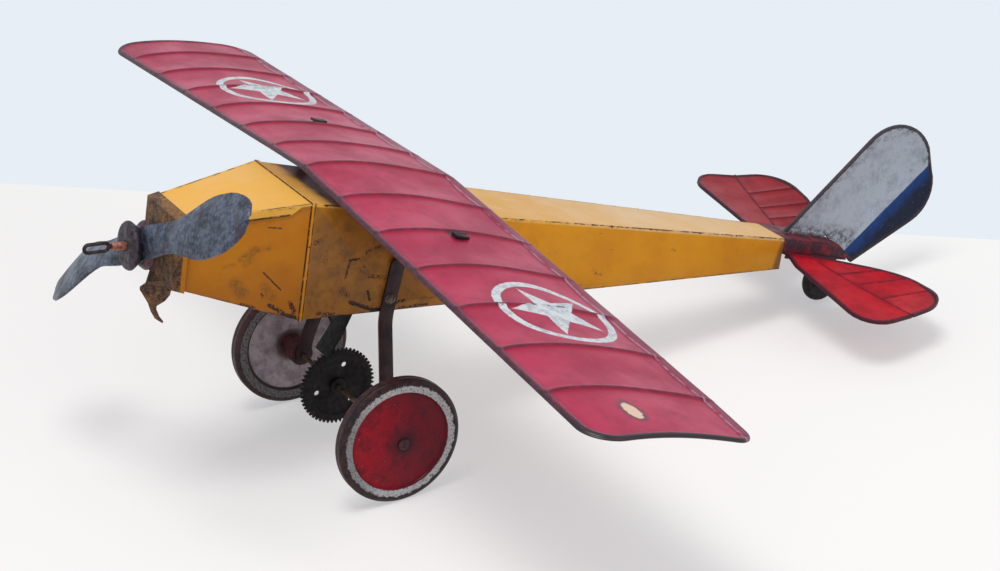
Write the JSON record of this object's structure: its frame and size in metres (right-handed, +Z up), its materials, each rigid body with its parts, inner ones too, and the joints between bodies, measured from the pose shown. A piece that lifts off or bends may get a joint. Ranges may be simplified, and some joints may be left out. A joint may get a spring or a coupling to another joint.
{
  "type": "toy airplane",
  "caption": "Pressed-steel pull toy monoplane with a ribbed cambered wing, folded fuselage, turning propeller, pressed disc wheels and a clicker wheel on the front axle.",
  "frame": {"origin": "on the floor under the middle of the toy's bounding box", "axes": "+X along the span to the port side, -Y toward the nose and +Y toward the tail, +Z up; the toy stands on its two front wheels and its tail wheel at z = 0"},
  "size_m": [0.587, 0.5691, 0.2061],
  "materials": {
    "body_paint": "aged gloss enamel, golden yellow",
    "cowl_paint": "aged gloss enamel, light yellow",
    "rusty_steel": "rusted bare sheet steel",
    "wing_paint": "aged gloss enamel, crimson",
    "strut_paint": "worn dark maroon enamel",
    "screw_steel": "dull plated steel",
    "axle_steel": "dull drawn rod",
    "dark_steel": "blackened steel",
    "wheel_paint": "gloss red enamel disc, white ring and brown rim",
    "wheel_grey": "dull grey enamel",
    "zinc": "mottled tarnished zinc plate",
    "copper": "dull copper tube",
    "tail_paint": "aged gloss enamel, red",
    "fin_paint": "aged enamel, off-white with a blue band",
    "tail_tyre": "hard dark rubber"
  },
  "bodies": {
    "airframe": {"body_shell": "body_paint", "cowl_sides": "body_paint", "cowl_top": "cowl_paint", "nose_plate": "rusty_steel", "wing": "wing_paint", "strut_port": "strut_paint", "strut_starboard": "strut_paint", "strut_screws": "screw_steel", "clicker_tongue": "dark_steel", "clicker_rivets": "dark_steel", "split_pin": "dark_steel", "tail_channel": "tail_paint", "tailplane": "tail_paint", "fin": "fin_paint", "tail_fork": "tail_paint", "tail_axle": "axle_steel"},
    "front_wheels": {"front_axle": "axle_steel", "clicker_wheel": "dark_steel", "clicker_collar": "dark_steel", "wheel_port_outer": "wheel_paint", "wheel_port_inner": "wheel_grey", "wheel_starboard_outer": "wheel_paint", "wheel_starboard_inner": "wheel_grey", "hub_port": "wheel_grey", "hub_starboard": "wheel_grey", "axle_caps": "dark_steel"},
    "propeller": {"propeller": "zinc", "hub_cup_front": "zinc", "hub_cup_rear": "zinc", "shaft_sleeve": "copper"},
    "tail_wheel": {"tail_wheel": "tail_tyre"}
  },
  "joints": [
    {"name": "front_axle_spin", "type": "hinge", "parent": "airframe", "child": "front_wheels", "pos_m": [-0.006, -0.14582, 0.0365], "axis": [1, 0, 0], "continuous": true},
    {"name": "propeller_spin", "type": "hinge", "parent": "airframe", "child": "propeller", "pos_m": [-0.006, -0.25448, 0.15159], "axis": [0, 0.9785, -0.2062], "continuous": true},
    {"name": "tail_wheel_spin", "type": "hinge", "parent": "airframe", "child": "tail_wheel", "pos_m": [-0.006, 0.19582, 0.0135], "axis": [1, 0, 0], "continuous": true}
  ]
}
